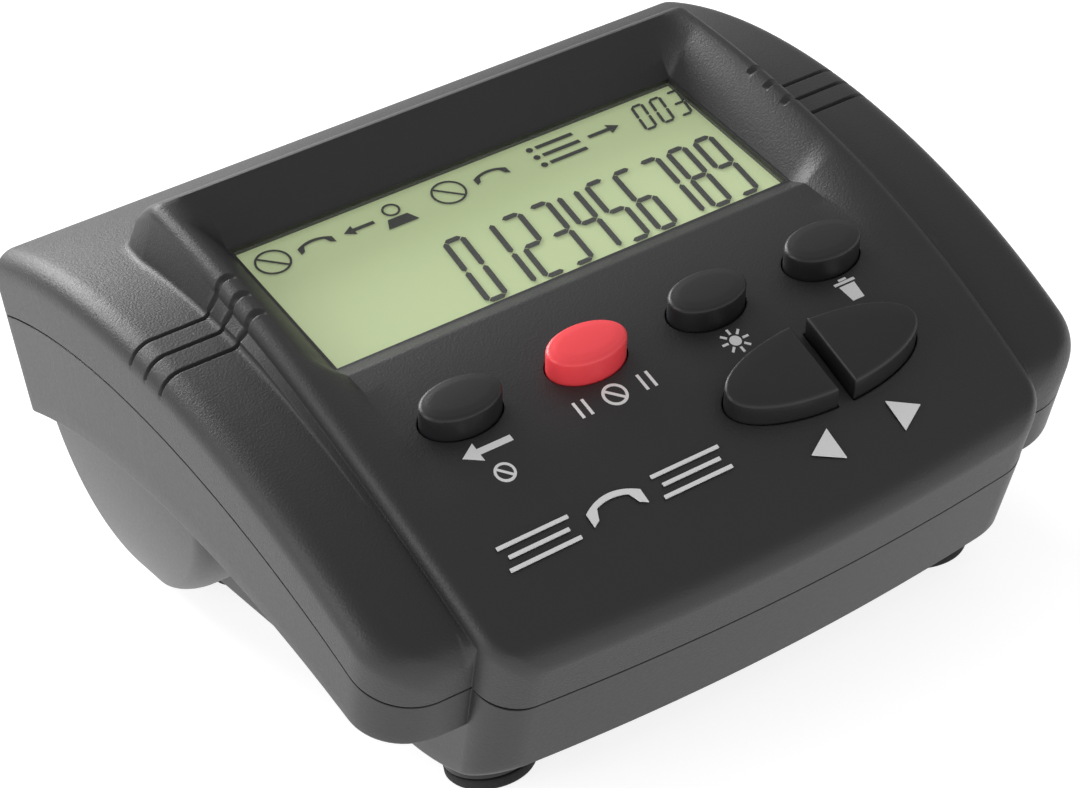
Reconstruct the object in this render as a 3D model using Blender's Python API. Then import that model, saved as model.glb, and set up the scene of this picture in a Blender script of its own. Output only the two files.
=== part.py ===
"""A desk telephone call screener, modelled as the pieces it comes apart into.

Lengths are in metres and +Z is up. The origin is the middle of the footprint, on the desk.
The housing is drawn in the deck frame, which is centred on the display and tilted like it:
x runs to the right, u runs up the deck and n stands out of it.
"""

import math

import bmesh
import bpy

for old_object in list(bpy.data.objects):
    bpy.data.objects.remove(old_object, do_unlink=True)

# Placing of the deck frame over the desk
DECK_TILT = math.radians(18.0)
DISPLAY_HEIGHT = 0.0536
DISPLAY_SETBACK = 0.00573

# Housing outline, in the deck frame. An arch is (highest n, the u where it is, radius).
CREST_ARCH = (0.0064, 0.0050, 0.1667)
DECK_ARCH = (0.0018, -0.0240, 0.0820)
WING_ARCH = (0.0021, -0.0096, 0.1200)
SEAM_ARCH = (-0.0076, -0.0113, 0.1383)
BAND_ARCH = (-0.0202, -0.0250, 0.1800)
BODY_HALF = 0.0430
BODY_TAPER = 0.0014
BODY_TAPER_FROM = -0.0180
WING_HALF = 0.0560
WING_FLARE = 0.0380
FRONT_END = -0.0633
WING_FRONT = -0.0580
BACK_WALL = 0.0465
FRONT_RAKE = -0.185
FRONT_BOW = 0.0026
BOW_FROM = -0.0400
SHOULDER = 0.0030
BODY_CORNER = 0.0055
WING_EDGE = 0.0035
WING_CORNER = 0.0080
BACK_CORNER = 0.0045
BACK_EDGE = 0.0045
HOOD_BACK = 0.0193
HOOD_FOOT = 0.0295
HOOD_CORNER = 0.0045
RIDGE_FOOT = 0.0010
RIDGE_DRAFT = 0.25
BASE_DROP = 0.0517
BASE_LIFT_FROM = -0.0250
BASE_LIFT_RADIUS = 0.0420
TUB_HALF = 0.0418
TUB_EDGE = 0.0010

# Walls and clearances
WALL = 0.0022
GAP = 0.0003
KEY_CLEARANCE = 0.0004
SCREW_CLEARANCE = 0.0003

# Display
WINDOW_HALF_X = 0.0350
WINDOW_HALF_U = 0.0138
WINDOW_MARGIN = 0.0004
WINDOW_BEVEL = 0.0029
LENS_RIM = 0.0030
LENS_THICK = 0.0012
WINDOW_WALL = 0.0012
LCD_THICK = 0.0022
BACKLIGHT_THICK = 0.0020
BEZEL_WALL = 0.0016

# Keys: the row of four ovals, and the ellipse that is split into a left and a right key
KEY_PITCH = 0.01835
KEY_ROW_U = -0.0307
KEY_HALF_X = 0.0056
KEY_HALF_U = 0.0036
KEY_TOP = 0.0050
KEY_RIM = 0.0011
KEY_RIM_THICK = 0.0010
SPLIT_CENTRE = (0.0163, -0.0456)
SPLIT_HALF_X = 0.0147
SPLIT_HALF_U = 0.0052
SPLIT_GAP = 0.0026
SPLIT_TOP = 0.0020
SPLIT_SLOPE = 0.263
RIM_TOP = -0.0040
SPLIT_RIM_TOP = -0.0056
DOME_HEIGHT = 0.0012
MAT_THICK = 0.0008
MAT_HALF_X = 0.0320
MAT_SPAN = (-0.0530, -0.0212)
BOARD_TOP = -0.0100
BOARD_THICK = 0.0016
KEY_BOARD_HALF_X = 0.0375
KEY_BOARD_SPAN = (-0.0540, 0.0205)

# Inside the base, in desk coordinates measured from the origin
MAIN_BOARD_HALF_X = 0.0310
MAIN_BOARD_FRONT = -0.0233
MAIN_BOARD_LIFT = 0.0045
FOOT_RADIUS = 0.0060
FOOT_THICK = 0.0016
FOOT_X = 0.0350
FOOT_YS = {"front": -0.0283, "rear": 0.0405}
LEG_TOP_DROP = 0.0171
LEG_BOTTOM = 0.0004
LEG_SHARE = 0.95
LEG_HOLLOW_SHARE = 0.70
LEG_FRONT = -0.0030
LEG_FRONT_RUN = 0.0529
LEG_FRONT_CURVE = 1.9
LEG_BACK = 0.0512
LEG_BACK_RUN = 0.0013
LEG_INNER = 0.0402
LEG_OUTER = 0.0555
LEG_OUTER_RUN = 0.0136
LEG_CORNER = 0.0040
SCREW_X = 0.0360
CASE_SCREW_PLACES = [(x, y) for y in (-0.0293, 0.0407) for x in (-SCREW_X, SCREW_X)]
UPPER_BOSS_RADIUS = 0.0024
LOWER_BOSS_RADIUS = 0.0036
SCREW_RADIUS = 0.0010
SCREW_REACH = 0.0050
HEAD_RADIUS = 0.0021
HEAD_THICK = 0.0014
HEAD_BELOW_SEAM = 0.0120
JACK_SIZE = (0.0132, 0.0160, 0.0118)
JACK_PLACES = {"line_jack": -0.0110, "phone_jack": 0.0110}
JACK_MOUTH = (0.0098, 0.0070)
JACK_DEPTH = 0.0120

SIN_TILT = math.sin(DECK_TILT)
COS_TILT = math.cos(DECK_TILT)
BACK_END = BACK_WALL / COS_TILT
BACK_RAKE = math.tan(DECK_TILT)
BASE_HEIGHT = DISPLAY_HEIGHT - BASE_DROP
FLOOR_HEIGHT = BASE_HEIGHT + WALL
BACK_FACE = BACK_WALL + DISPLAY_SETBACK
FLAT_HALF_X = WINDOW_HALF_X + WINDOW_MARGIN
FLAT_HALF_U = WINDOW_HALF_U + WINDOW_MARGIN
MAT_TOP = BOARD_TOP + GAP + MAT_THICK
DOME_TOP = MAT_TOP + DOME_HEIGHT


# Materials

def plastic(name, colour, roughness, metallic=0.0, alpha=1.0):
    material = bpy.data.materials.new(name)
    material.use_nodes = True
    shader = material.node_tree.nodes["Principled BSDF"]
    shader.inputs["Base Color"].default_value = (*colour, 1.0)
    shader.inputs["Roughness"].default_value = roughness
    shader.inputs["Metallic"].default_value = metallic
    shader.inputs["Alpha"].default_value = alpha
    return material


CHARCOAL = plastic("charcoal_abs", (0.020, 0.020, 0.022), 0.45)
BLACK_KEY = plastic("black_key", (0.015, 0.015, 0.016), 0.40)
RED_KEY = plastic("red_key", (0.80, 0.06, 0.08), 0.35)
CLEAR = plastic("clear_lens", (0.90, 0.95, 0.85), 0.05, alpha=0.35)
DISPLAY = plastic("display_glass", (0.52, 0.60, 0.33), 0.20)
WHITE = plastic("white_plastic", (0.80, 0.80, 0.78), 0.50)
RUBBER = plastic("black_rubber", (0.020, 0.020, 0.020), 0.85)
GREY_RUBBER = plastic("grey_rubber", (0.35, 0.36, 0.38), 0.75)
BOARD = plastic("green_board", (0.02, 0.20, 0.08), 0.50)
STEEL = plastic("screw_steel", (0.60, 0.60, 0.60), 0.35, metallic=1.0)
CHIP = plastic("chip_black", (0.03, 0.03, 0.03), 0.50)
COIL = plastic("coil_yellow", (0.75, 0.60, 0.10), 0.50)
BLUE = plastic("part_blue", (0.05, 0.15, 0.60), 0.45)


# Frames and small mesh helpers

deck_frame = bpy.data.objects.new("deck_frame", None)
bpy.context.scene.collection.objects.link(deck_frame)
deck_frame.location = (0.0, DISPLAY_SETBACK, DISPLAY_HEIGHT)
deck_frame.rotation_euler = (DECK_TILT, 0.0, 0.0)
bpy.context.view_layer.update()


def add_object(name, mesh_builder, material=None, parent=None, location=(0.0, 0.0, 0.0)):
    """Links a new object. Without a material it is a helper, which only cuts or joins."""
    mesh = bpy.data.meshes.new(name)
    mesh_builder.normal_update()
    mesh_builder.to_mesh(mesh)
    mesh_builder.free()
    made = bpy.data.objects.new(name, mesh)
    bpy.context.scene.collection.objects.link(made)
    made.parent = parent
    made.location = location
    if material is None:
        made.hide_render = True
        made.display_type = "WIRE"
    else:
        mesh.materials.append(material)
        mesh.shade_smooth()
        mesh.set_sharp_from_angle(angle=math.radians(35.0))
    return made


def boolean(target, operation, helper):
    modifier = target.modifiers.new(helper.name, "BOOLEAN")
    modifier.operation = operation
    modifier.solver = "EXACT"
    modifier.object = helper


def add_stack(builder, levels):
    """Adds a closed solid through (outline, height) levels. Outlines run anticlockwise, seen from +Z."""
    rings = []
    for outline, level in levels:
        rings.append([builder.verts.new((*point[:2], level + sum(point[2:]))) for point in outline])
    builder.faces.new(rings[0][::-1])
    builder.faces.new(rings[-1])
    for ring, above in zip(rings, rings[1:]):
        for i in range(len(ring)):
            j = (i + 1) % len(ring)
            builder.faces.new((ring[i], ring[j], above[j], above[i]))


def add_prism(builder, outline, low, high):
    add_stack(builder, ((outline, low), (outline, high)))


def rectangle(centre, half_x, half_y):
    x, y = centre
    low = [(x - half_x, y - half_y), (x + half_x, y - half_y)]
    return low + [(x + half_x, y + half_y), (x - half_x, y + half_y)]


def rounded_rectangle(low, high, radius, steps=4):
    """An outline with round corners between two corner points."""
    points = []
    corners = ((high[0], high[1], 0), (low[0], high[1], 1), (low[0], low[1], 2), (high[0], low[1], 3))
    for x, y, quarter in corners:
        centre_x = x - radius if quarter in (0, 3) else x + radius
        centre_y = y - radius if quarter in (0, 1) else y + radius
        for step in range(steps + 1):
            angle = math.radians(90.0) * (quarter + step / steps)
            points.append((centre_x + radius * math.cos(angle), centre_y + radius * math.sin(angle)))
    return points


def ellipse(centre, half_x, half_y, steps=28):
    turns = [2.0 * math.pi * i / steps for i in range(steps)]
    return [(centre[0] + half_x * math.cos(a), centre[1] + half_y * math.sin(a)) for a in turns]


def half_ellipse(side, inset, steps=14):
    """One half of the split key. side is -1 or +1, and a positive inset makes it smaller all round."""
    flat = SPLIT_GAP / 2.0 + inset
    half_x = SPLIT_HALF_X - inset
    half_u = SPLIT_HALF_U - inset
    start = math.acos(flat / half_x)
    points = []
    for step in range(steps + 1):
        angle = -start + 2.0 * start * step / steps
        x = SPLIT_CENTRE[0] + side * half_x * math.cos(angle)
        points.append((x, SPLIT_CENTRE[1] + half_u * math.sin(angle)))
    return points if side > 0 else points[::-1]


def plate(name, outline, low, high, material, parent=None, location=(0.0, 0.0, 0.0)):
    builder = bmesh.new()
    add_prism(builder, outline, low, high)
    return add_object(name, builder, material, parent, location)


# Housing surfaces

def arch(u, shape):
    highest, at, radius = shape
    return highest - (u - at) ** 2 / (2.0 * radius)


def round_off(distance, radius):
    """How far a rounded end of this radius has drawn in, this far from its end."""
    if distance >= radius:
        return 0.0
    left = radius - max(distance, 0.0)
    return radius - math.sqrt(radius * radius - left * left)


def body_half(u):
    front = max(0.0, BODY_TAPER_FROM - u) / (BODY_TAPER_FROM - FRONT_END)
    return BODY_HALF - BODY_TAPER * front * front


def wing_edge(u, inset):
    """Half the width over the wings, with their rounded corners."""
    half = WING_HALF + WING_FLARE * u - inset
    front = round_off(u - WING_FRONT - inset, WING_CORNER)
    return half - front - round_off(BACK_END - inset - u, BACK_CORNER)


def rake(u):
    share = (u - FRONT_END) / (BACK_END - FRONT_END)
    return FRONT_RAKE + (BACK_RAKE - FRONT_RAKE) * share


def base_level(u):
    """The n of the underside of the tub, which is flat on the desk and lifts towards the front."""
    lift = 0.0
    level = 0.0
    for _ in range(3):
        level = -(BASE_DROP - lift + u * SIN_TILT) / (COS_TILT + rake(u) * SIN_TILT)
        y = (u + rake(u) * level) * COS_TILT - level * SIN_TILT
        lift = max(0.0, BASE_LIFT_FROM - y) ** 2 / (2.0 * BASE_LIFT_RADIUS)
    return level


def housed(x, u, n):
    """Leans the end walls and bows the front, so that a plain section becomes the housing."""
    ramp = min(1.0, max(0.0, (BOW_FROM - u) / (BOW_FROM - FRONT_END)))
    across = max(0.0, 1.0 - (x / BODY_HALF) ** 2)
    return x, u + rake(u) * n - FRONT_BOW * across * ramp * ramp * (3.0 - 2.0 * ramp), n


BODY_STEPS = (0.0, 0.0120, 0.0240, 0.0330, FLAT_HALF_X, 0.0367, 0.0382, 0.0398, 0.0412)
BODY_STEPS += (0.0423, 0.04285, BODY_HALF)
DIP_SHARES = (1.0, 1.0, 1.0, 1.0, 1.0, 0.72, 0.38, 0.12, 0.0)
CREST_FALLS = (0.00035, 0.0011, 0.0021)


def dip(u):
    """How far the middle of the deck lies below its two crests."""
    crest = arch(u, CREST_ARCH)
    if u > HOOD_BACK:
        return 0.0
    if u > FLAT_HALF_U:
        return crest * (HOOD_BACK - u) / (HOOD_BACK - FLAT_HALF_U)
    if u >= -FLAT_HALF_U:
        return crest
    lip = -FLAT_HALF_U - WINDOW_BEVEL
    if u >= lip:
        share = (-FLAT_HALF_U - u) / WINDOW_BEVEL
        return crest - arch(lip, DECK_ARCH) * share
    return max(0.0, crest - arch(u, DECK_ARCH))


def upper_section(u, inset, with_wing):
    """Half a section of the upper shell, as (x, n) from the middle out and down to the seam."""
    end_drop = round_off(u - FRONT_END - inset, SHOULDER)
    corner = round_off(u - FRONT_END - inset, BODY_CORNER)
    back = BACK_END - inset - u
    wing_n = arch(u, WING_ARCH) - inset - round_off(back, BACK_EDGE - inset)
    crest_n = arch(u, CREST_ARCH) - inset
    hood = 1.0
    if u > HOOD_BACK:
        hood = 1.0 - min(1.0, (u - HOOD_BACK) / (HOOD_FOOT - HOOD_BACK)) ** 1.3
        crest_n = wing_n + (crest_n - wing_n) * hood
    crest_n -= end_drop
    corner += round_off(HOOD_FOOT - u, HOOD_CORNER)
    scale = (body_half(u) - corner) / BODY_HALF
    falls = [dip(u) * share for share in DIP_SHARES] + [fall * hood for fall in CREST_FALLS]
    points = []
    for x, fall in zip(BODY_STEPS, falls):
        points.append((x * scale - inset * (x / BODY_HALF) ** 16, crest_n - fall))
    wall_x, wall_n = points[-1]
    seam_n = arch(u, SEAM_ARCH) + GAP / 2.0
    half = wing_edge(u, inset)
    top = wing_n - round_off(u - WING_FRONT - inset, WING_EDGE)
    edge = min(WING_EDGE, 0.8 * (top - seam_n))
    foot_x = wall_x + RIDGE_FOOT + RIDGE_DRAFT * max(0.0, crest_n - wing_n - CREST_FALLS[-1])
    wing = [(foot_x, top), (foot_x + 0.0020, top), (half - edge, top)]
    for degrees in (25, 50, 75, 90):
        turn = math.radians(degrees)
        wing.append((half - edge + edge * math.sin(turn), top - edge * (1.0 - math.cos(turn))))
    wing.append((half, seam_n))
    if not with_wing:
        wing = [(wall_x, min(n, wall_n)) for _, n in wing]
    return points + wing


def lower_section(u, inset, with_wing):
    """Half a section of the lower shell, as (x, n) from the middle of its floor out and up to the seam."""
    floor = base_level(u) + inset
    corner = round_off(u - FRONT_END - inset, BODY_CORNER)
    side = TUB_HALF - inset - corner
    side_low = side - TUB_EDGE
    seam_n = arch(u, SEAM_ARCH) - GAP / 2.0
    points = [(0.0, floor), (side_low * 0.4, floor), (side_low * 0.8, floor), (side_low, floor)]
    points += [(side - TUB_EDGE * 0.3, floor + TUB_EDGE * 0.3), (side, floor + TUB_EDGE)]
    half = wing_edge(u, inset)
    under = arch(u, BAND_ARCH) + inset
    wing = [(side, (floor + under) / 2.0), (side, under), (half - 0.0040, under), (half - 0.0004, under)]
    wing += [(half, under + 0.0005), (half, (under + seam_n) / 2.0), (half, seam_n)]
    if not with_wing:
        wing = [(side, n) for _, n in wing]
    return points + wing


FRONT_STATIONS = [FRONT_END + d for d in (0.0, 0.0002, 0.0007, 0.0015, 0.0026, 0.0038)]
WING_STATIONS = [WING_FRONT + d for d in (0.0, 0.0003, 0.0011, 0.0024, 0.0044, 0.0080)]
MIDDLE_STATIONS = [-0.046, -0.0405, -0.035, -0.030, -0.025, -0.021, -0.0171, -0.0157, -FLAT_HALF_U, -0.0085, -0.003]
MIDDLE_STATIONS += [0.003, 0.0085, FLAT_HALF_U, 0.0160, 0.0178]
HOOD_STEPS = (0.0, 0.10, 0.28, 0.55, 0.72, 0.86, 0.95, 1.0)
MIDDLE_STATIONS += [HOOD_BACK + (HOOD_FOOT - HOOD_BACK) * step for step in HOOD_STEPS]
MIDDLE_STATIONS += [0.0335, 0.0375]
BACK_STATIONS = [BACK_END - d for d in (0.0070, 0.0044, 0.0025, 0.0012, 0.0003, 0.0)]


def stations():
    """Each station of the loft as (u, with_wing), from the front to the back."""
    rows = [(u, False) for u in FRONT_STATIONS + [WING_FRONT]]
    rows += [(u, True) for u in WING_STATIONS + MIDDLE_STATIONS + BACK_STATIONS]
    return rows


def end_wall(u, points):
    """Rows that close an end of a skin, from the section's own level to the seam."""
    seam_n = points[0][1]
    levels = sorted({round(n, 5) for _, n in points}, key=lambda n: abs(n - seam_n), reverse=True)
    above = levels[0] > seam_n
    rows = []
    for level in levels[1:-1] + [seam_n]:
        rows.append((u, [(x, min(n, level) if above else max(n, level)) for x, n in points]))
    return rows


def skin_rows(section, inset):
    """A grid of points over one skin of a shell: its front wall, its stations and its back wall."""
    rows = []
    for u, with_wing in stations():
        here = min(max(u, FRONT_END + inset), BACK_END - inset)
        if with_wing or u >= WING_FRONT:
            here = max(here, WING_FRONT + inset)
        half = [(round(x, 5), round(n, 5)) for x, n in section(here, inset, with_wing)]
        rows.append((here, [(-x, n) for x, n in half[:0:-1]] + half))
    parts = (end_wall(*rows[0])[::-1], rows, end_wall(*rows[-1]))
    return [[[housed(x, u, n) for x, n in points] for u, points in part] for part in parts]


def shell_mesh(section):
    """A closed shell: an outer skin, an inner skin and the rim between them along the seam."""
    builder = bmesh.new()
    rims = []
    for inset in (0.0, WALL):
        front, middle, back = [
            [[builder.verts.new(point) for point in row] for row in part] for part in skin_rows(section, inset)
        ]
        skin = front + middle + back
        for row, following in zip(skin, skin[1:]):
            for i in range(len(row) - 1):
                builder.faces.new((row[i], row[i + 1], following[i + 1], following[i]))
        right = [row[-1] for row in middle[1:-1]]
        left = [row[0] for row in middle[-2:0:-1]]
        rims.append(skin[0] + right + skin[-1][::-1] + left)
    for i in range(len(rims[0])):
        j = (i + 1) % len(rims[0])
        builder.faces.new((rims[0][i], rims[1][i], rims[1][j], rims[0][j]))
    bmesh.ops.remove_doubles(builder, verts=builder.verts, dist=0.000002)
    bmesh.ops.recalc_face_normals(builder, faces=builder.faces)
    return builder


# Upper shell, with its window, key holes, grooves and posts

upper_shell = add_object("upper_shell", shell_mesh(upper_section), CHARCOAL, deck_frame)

KEY_XS = [KEY_PITCH * (i - 1.5) for i in range(4)]
GROOVE_US = (0.0017, -0.0020, -0.0058)
GROOVE_WIDTH = 0.0009
GROOVE_DEPTH = 0.0007
BOARD_POSTS = ((-0.0360, -0.0500), (0.0360, -0.0500), (-0.0360, -0.0225), (0.0360, -0.0225))
POST_RADIUS = 0.0021
BOARD_SCREW_RADIUS = 0.0008


def groove_outline(u, side):
    """The cross-section of the cutter for one groove, from the crest out to the side wall."""
    path = upper_section(u, 0.0, True)
    crest_top = len(DIP_SHARES) - 1
    path = [(0.0405, path[crest_top][1])] + path[crest_top + 1:-2]
    path.append((path[-1][0], path[-1][1] - 0.0012))
    inner = []
    outer = []
    for i, (x, n) in enumerate(path):
        before = path[max(i - 1, 0)]
        after = path[min(i + 1, len(path) - 1)]
        length = math.hypot(after[0] - before[0], after[1] - before[1])
        normal = ((before[1] - after[1]) / length, (after[0] - before[0]) / length)
        inner.append((x - normal[0] * GROOVE_DEPTH, n - normal[1] * GROOVE_DEPTH))
        outer.append((x + normal[0] * 0.0012, n + normal[1] * 0.0012))
    outline = inner + outer[::-1]
    return [(side * x, n) for x, n in outline]


def add_slice(builder, outline, low_u, high_u):
    """A closed prism along u, from an (x, n) outline."""
    front = [builder.verts.new((x, low_u, n)) for x, n in outline]
    back = [builder.verts.new((x, high_u, n)) for x, n in outline]
    builder.faces.new(front)
    builder.faces.new(back[::-1])
    for i in range(len(front)):
        j = (i + 1) % len(front)
        builder.faces.new((front[i], back[i], back[j], front[j]))


post_builder = bmesh.new()
for x, u in BOARD_POSTS:
    add_prism(post_builder, ellipse((x, u), POST_RADIUS, POST_RADIUS, 12), BOARD_TOP + GAP, arch(u, DECK_ARCH) - 0.0011)
upper_posts = add_object("upper_posts", post_builder, parent=deck_frame)


def deck_to_desk(x, u, n):
    return (x, DISPLAY_SETBACK + u * COS_TILT - n * SIN_TILT, DISPLAY_HEIGHT + u * SIN_TILT + n * COS_TILT)


def shell_ceiling(y):
    """Desk height of the middle of the upper shell's wall over a case screw."""
    u = (y - DISPLAY_SETBACK) / COS_TILT
    shape = DECK_ARCH if u < 0.0 else WING_ARCH
    for _ in range(4):
        u = (y - DISPLAY_SETBACK + (arch(u, shape) - WALL / 2.0) * SIN_TILT) / COS_TILT
    return deck_to_desk(0.0, u, arch(u, shape) - WALL / 2.0)[2]


def seam_height(y):
    u = (y - DISPLAY_SETBACK) / COS_TILT
    for _ in range(4):
        u = (y - DISPLAY_SETBACK + arch(u, SEAM_ARCH) * SIN_TILT) / COS_TILT
    return deck_to_desk(0.0, u, arch(u, SEAM_ARCH))[2]


boss_builder = bmesh.new()
hole_builder = bmesh.new()
for x, y in CASE_SCREW_PLACES:
    foot = seam_height(y)
    top = shell_ceiling(y)
    add_prism(boss_builder, ellipse((x, y), UPPER_BOSS_RADIUS, UPPER_BOSS_RADIUS, 16), foot + GAP, top)
    hole = SCREW_RADIUS + SCREW_CLEARANCE
    add_prism(hole_builder, ellipse((x, y), hole, hole, 12), foot - 0.002, foot + SCREW_REACH + 0.0006)
upper_bosses = add_object("upper_bosses", boss_builder)
upper_boss_holes = add_object("upper_boss_holes", hole_builder)

window = rectangle((0.0, 0.0), WINDOW_HALF_X, WINDOW_HALF_U)
pocket = rectangle((0.0, 0.0), WINDOW_HALF_X + LENS_RIM + GAP, WINDOW_HALF_U + LENS_RIM + GAP)
cut_builder = bmesh.new()
add_stack(cut_builder, ((pocket, -0.0070), (pocket, -WINDOW_WALL), (window, -WINDOW_WALL), (window, 0.0030)))
for x in KEY_XS:
    hole = ellipse((x, KEY_ROW_U), KEY_HALF_X + KEY_CLEARANCE, KEY_HALF_U + KEY_CLEARANCE)
    add_prism(cut_builder, hole, -0.0060, 0.0080)
for side in (-1, 1):
    add_prism(cut_builder, half_ellipse(side, -KEY_CLEARANCE), -0.0080, 0.0080)
for x, u in BOARD_POSTS:
    hole = BOARD_SCREW_RADIUS + SCREW_CLEARANCE
    add_prism(cut_builder, ellipse((x, u), hole, hole, 10), BOARD_TOP - 0.001, BOARD_TOP + 0.0042)
upper_cuts = add_object("upper_cuts", cut_builder, parent=deck_frame)

groove_builder = bmesh.new()
for u in GROOVE_US:
    for side in (-1, 1):
        add_slice(groove_builder, groove_outline(u, side), u - GROOVE_WIDTH / 2.0, u + GROOVE_WIDTH / 2.0)
bmesh.ops.recalc_face_normals(groove_builder, faces=groove_builder.faces)
groove_cuts = add_object("groove_cuts", groove_builder, parent=deck_frame)

boolean(upper_shell, "UNION", upper_posts)
boolean(upper_shell, "UNION", upper_bosses)
boolean(upper_shell, "DIFFERENCE", upper_boss_holes)
boolean(upper_shell, "DIFFERENCE", upper_cuts)
boolean(upper_shell, "DIFFERENCE", groove_cuts)


# Lower shell, with its legs, foot bosses, screw bosses, board standoffs and socket openings

lower_shell = add_object("lower_shell", shell_mesh(lower_section), CHARCOAL, deck_frame)

LEG_TOP = DISPLAY_HEIGHT - LEG_TOP_DROP
BOARD_PLACES = ((-0.0280, -0.0193), (0.0280, -0.0193), (-0.0280, 0.0287), (0.0280, 0.0287))
BOARD_LEVEL = FLOOR_HEIGHT + MAIN_BOARD_LIFT


def leg_outline(share, inset, side):
    front = LEG_FRONT + LEG_FRONT_RUN * share ** LEG_FRONT_CURVE + inset * (1.0 + share)
    back = LEG_BACK - LEG_BACK_RUN * share * share - inset
    outer = LEG_OUTER - LEG_OUTER_RUN * (1.0 - math.sqrt(1.0 - share * share)) - inset
    radius = min(LEG_CORNER - inset / 2.0, 0.45 * (outer - LEG_INNER - inset), 0.45 * (back - front))
    outline = rounded_rectangle((LEG_INNER + inset, front), (outer, back), radius, 3)
    return [(side * x, y) for x, y in outline][::side]


def leg_mesh(inset, lift, reach, side):
    """A leg, or the room in it. share runs from 0 at the top, and reach is where this solid stops."""
    builder = bmesh.new()
    rings = []
    for step in range(9):
        share = reach * math.sin(math.radians(90.0) * step / 8.0)
        z = LEG_TOP + (LEG_BOTTOM - LEG_TOP) * share / LEG_SHARE
        z += lift * (1.0 - share / reach)
        rings.append([builder.verts.new((x, y, z)) for x, y in leg_outline(share, inset, side)])
    for ring, lower in zip(rings, rings[1:]):
        for i in range(len(ring)):
            j = (i + 1) % len(ring)
            builder.faces.new((ring[i], lower[i], lower[j], ring[j]))
    builder.faces.new(rings[0])
    builder.faces.new(rings[-1][::-1])
    return builder


for side, word in ((-1, "left"), (1, "right")):
    leg = add_object("leg_" + word, leg_mesh(0.0, 0.0, LEG_SHARE, side))
    hollow = add_object("leg_hollow_" + word, leg_mesh(WALL, 0.0040, LEG_HOLLOW_SHARE, side))
    boolean(lower_shell, "UNION", leg)
    boolean(lower_shell, "DIFFERENCE", hollow)

stub_builder = bmesh.new()
join_builder = bmesh.new()
drill_builder = bmesh.new()
shank_builder = bmesh.new()
for side in (-1, 1):
    place = (side * FOOT_X, FOOT_YS["front"])
    add_prism(stub_builder, ellipse(place, FOOT_RADIUS, FOOT_RADIUS, 20), FOOT_THICK + GAP, FLOOR_HEIGHT + 0.0015)
for x, y in CASE_SCREW_PLACES:
    boss = ellipse((x, y), LOWER_BOSS_RADIUS, LOWER_BOSS_RADIUS, 16)
    add_prism(join_builder, boss, BASE_HEIGHT + 0.0018, seam_height(y) - GAP)
    hole = SCREW_RADIUS + SCREW_CLEARANCE
    seat = seam_height(y) - HEAD_BELOW_SEAM
    add_prism(shank_builder, ellipse((x, y), hole, hole, 12), seat - 0.001, seam_height(y) + 0.002)
    hole = HEAD_RADIUS + SCREW_CLEARANCE
    add_prism(drill_builder, ellipse((x, y), hole, hole, 12), -0.001, seat)
for x, y in BOARD_PLACES:
    add_prism(join_builder, ellipse((x, y), POST_RADIUS, POST_RADIUS, 12), BASE_HEIGHT + 0.0005, BOARD_LEVEL - GAP)
    hole = BOARD_SCREW_RADIUS + SCREW_CLEARANCE
    add_prism(drill_builder, ellipse((x, y), hole, hole, 10), FLOOR_HEIGHT, BOARD_LEVEL + 0.001)
for x in JACK_PLACES.values():
    width, height = JACK_MOUTH
    centre_z = BOARD_LEVEL + BOARD_THICK + GAP + JACK_SIZE[2] / 2.0
    low = (x - width / 2.0 - 0.0004, centre_z - height / 2.0 - 0.0004)
    high = (x + width / 2.0 + 0.0004, centre_z + height / 2.0 + 0.0004)
    mouth = rectangle((x, BACK_FACE), high[0] - x, 0.0050)
    add_prism(drill_builder, mouth, low[1], high[1])
foot_stubs = add_object("foot_stubs", stub_builder)
lower_joins = add_object("lower_joins", join_builder)
lower_drills = add_object("lower_drills", drill_builder)
lower_shanks = add_object("lower_shanks", shank_builder)
boolean(lower_shell, "UNION", foot_stubs)
boolean(lower_shell, "UNION", lower_joins)
boolean(lower_shell, "DIFFERENCE", lower_drills)
boolean(lower_shell, "DIFFERENCE", lower_shanks)


# Display stack: lens, glass, backlight, contact strips and the frame that holds them

WINDOW_FACE = -0.0003
LENS_TOP = -WINDOW_WALL - GAP
LENS_BOTTOM = LENS_TOP - LENS_THICK
GLASS_TOP = LENS_BOTTOM - GAP
GLASS_BOTTOM = GLASS_TOP - LCD_THICK
BACKLIGHT_TOP = GLASS_BOTTOM - GAP
LENS_HALF_X = WINDOW_HALF_X + LENS_RIM
LENS_HALF_U = WINDOW_HALF_U + LENS_RIM
STRIP_U = WINDOW_HALF_U + 0.0020
STRIP_HALF = 0.0009

rim = rectangle((0.0, 0.0), LENS_HALF_X, LENS_HALF_U)
plug = rectangle((0.0, 0.0), WINDOW_HALF_X - GAP, WINDOW_HALF_U - GAP)
lens_builder = bmesh.new()
add_stack(lens_builder, ((rim, LENS_BOTTOM), (rim, LENS_TOP), (plug, LENS_TOP), (plug, WINDOW_FACE)))
add_object("display_lens", lens_builder, CLEAR, deck_frame)
plate("lcd_glass", rim, GLASS_BOTTOM, GLASS_TOP, DISPLAY, deck_frame)
backlight = rectangle((0.0, 0.0), WINDOW_HALF_X + 0.0010, WINDOW_HALF_U)
plate("backlight_plate", backlight, BACKLIGHT_TOP - BACKLIGHT_THICK, BACKLIGHT_TOP, WHITE, deck_frame)
for name, side in (("zebra_strip_front", -1), ("zebra_strip_rear", 1)):
    strip = rectangle((0.0, side * STRIP_U), WINDOW_HALF_X - 0.0030, STRIP_HALF)
    plate(name, strip, BOARD_TOP + GAP, GLASS_BOTTOM - GAP, GREY_RUBBER, deck_frame)

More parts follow.
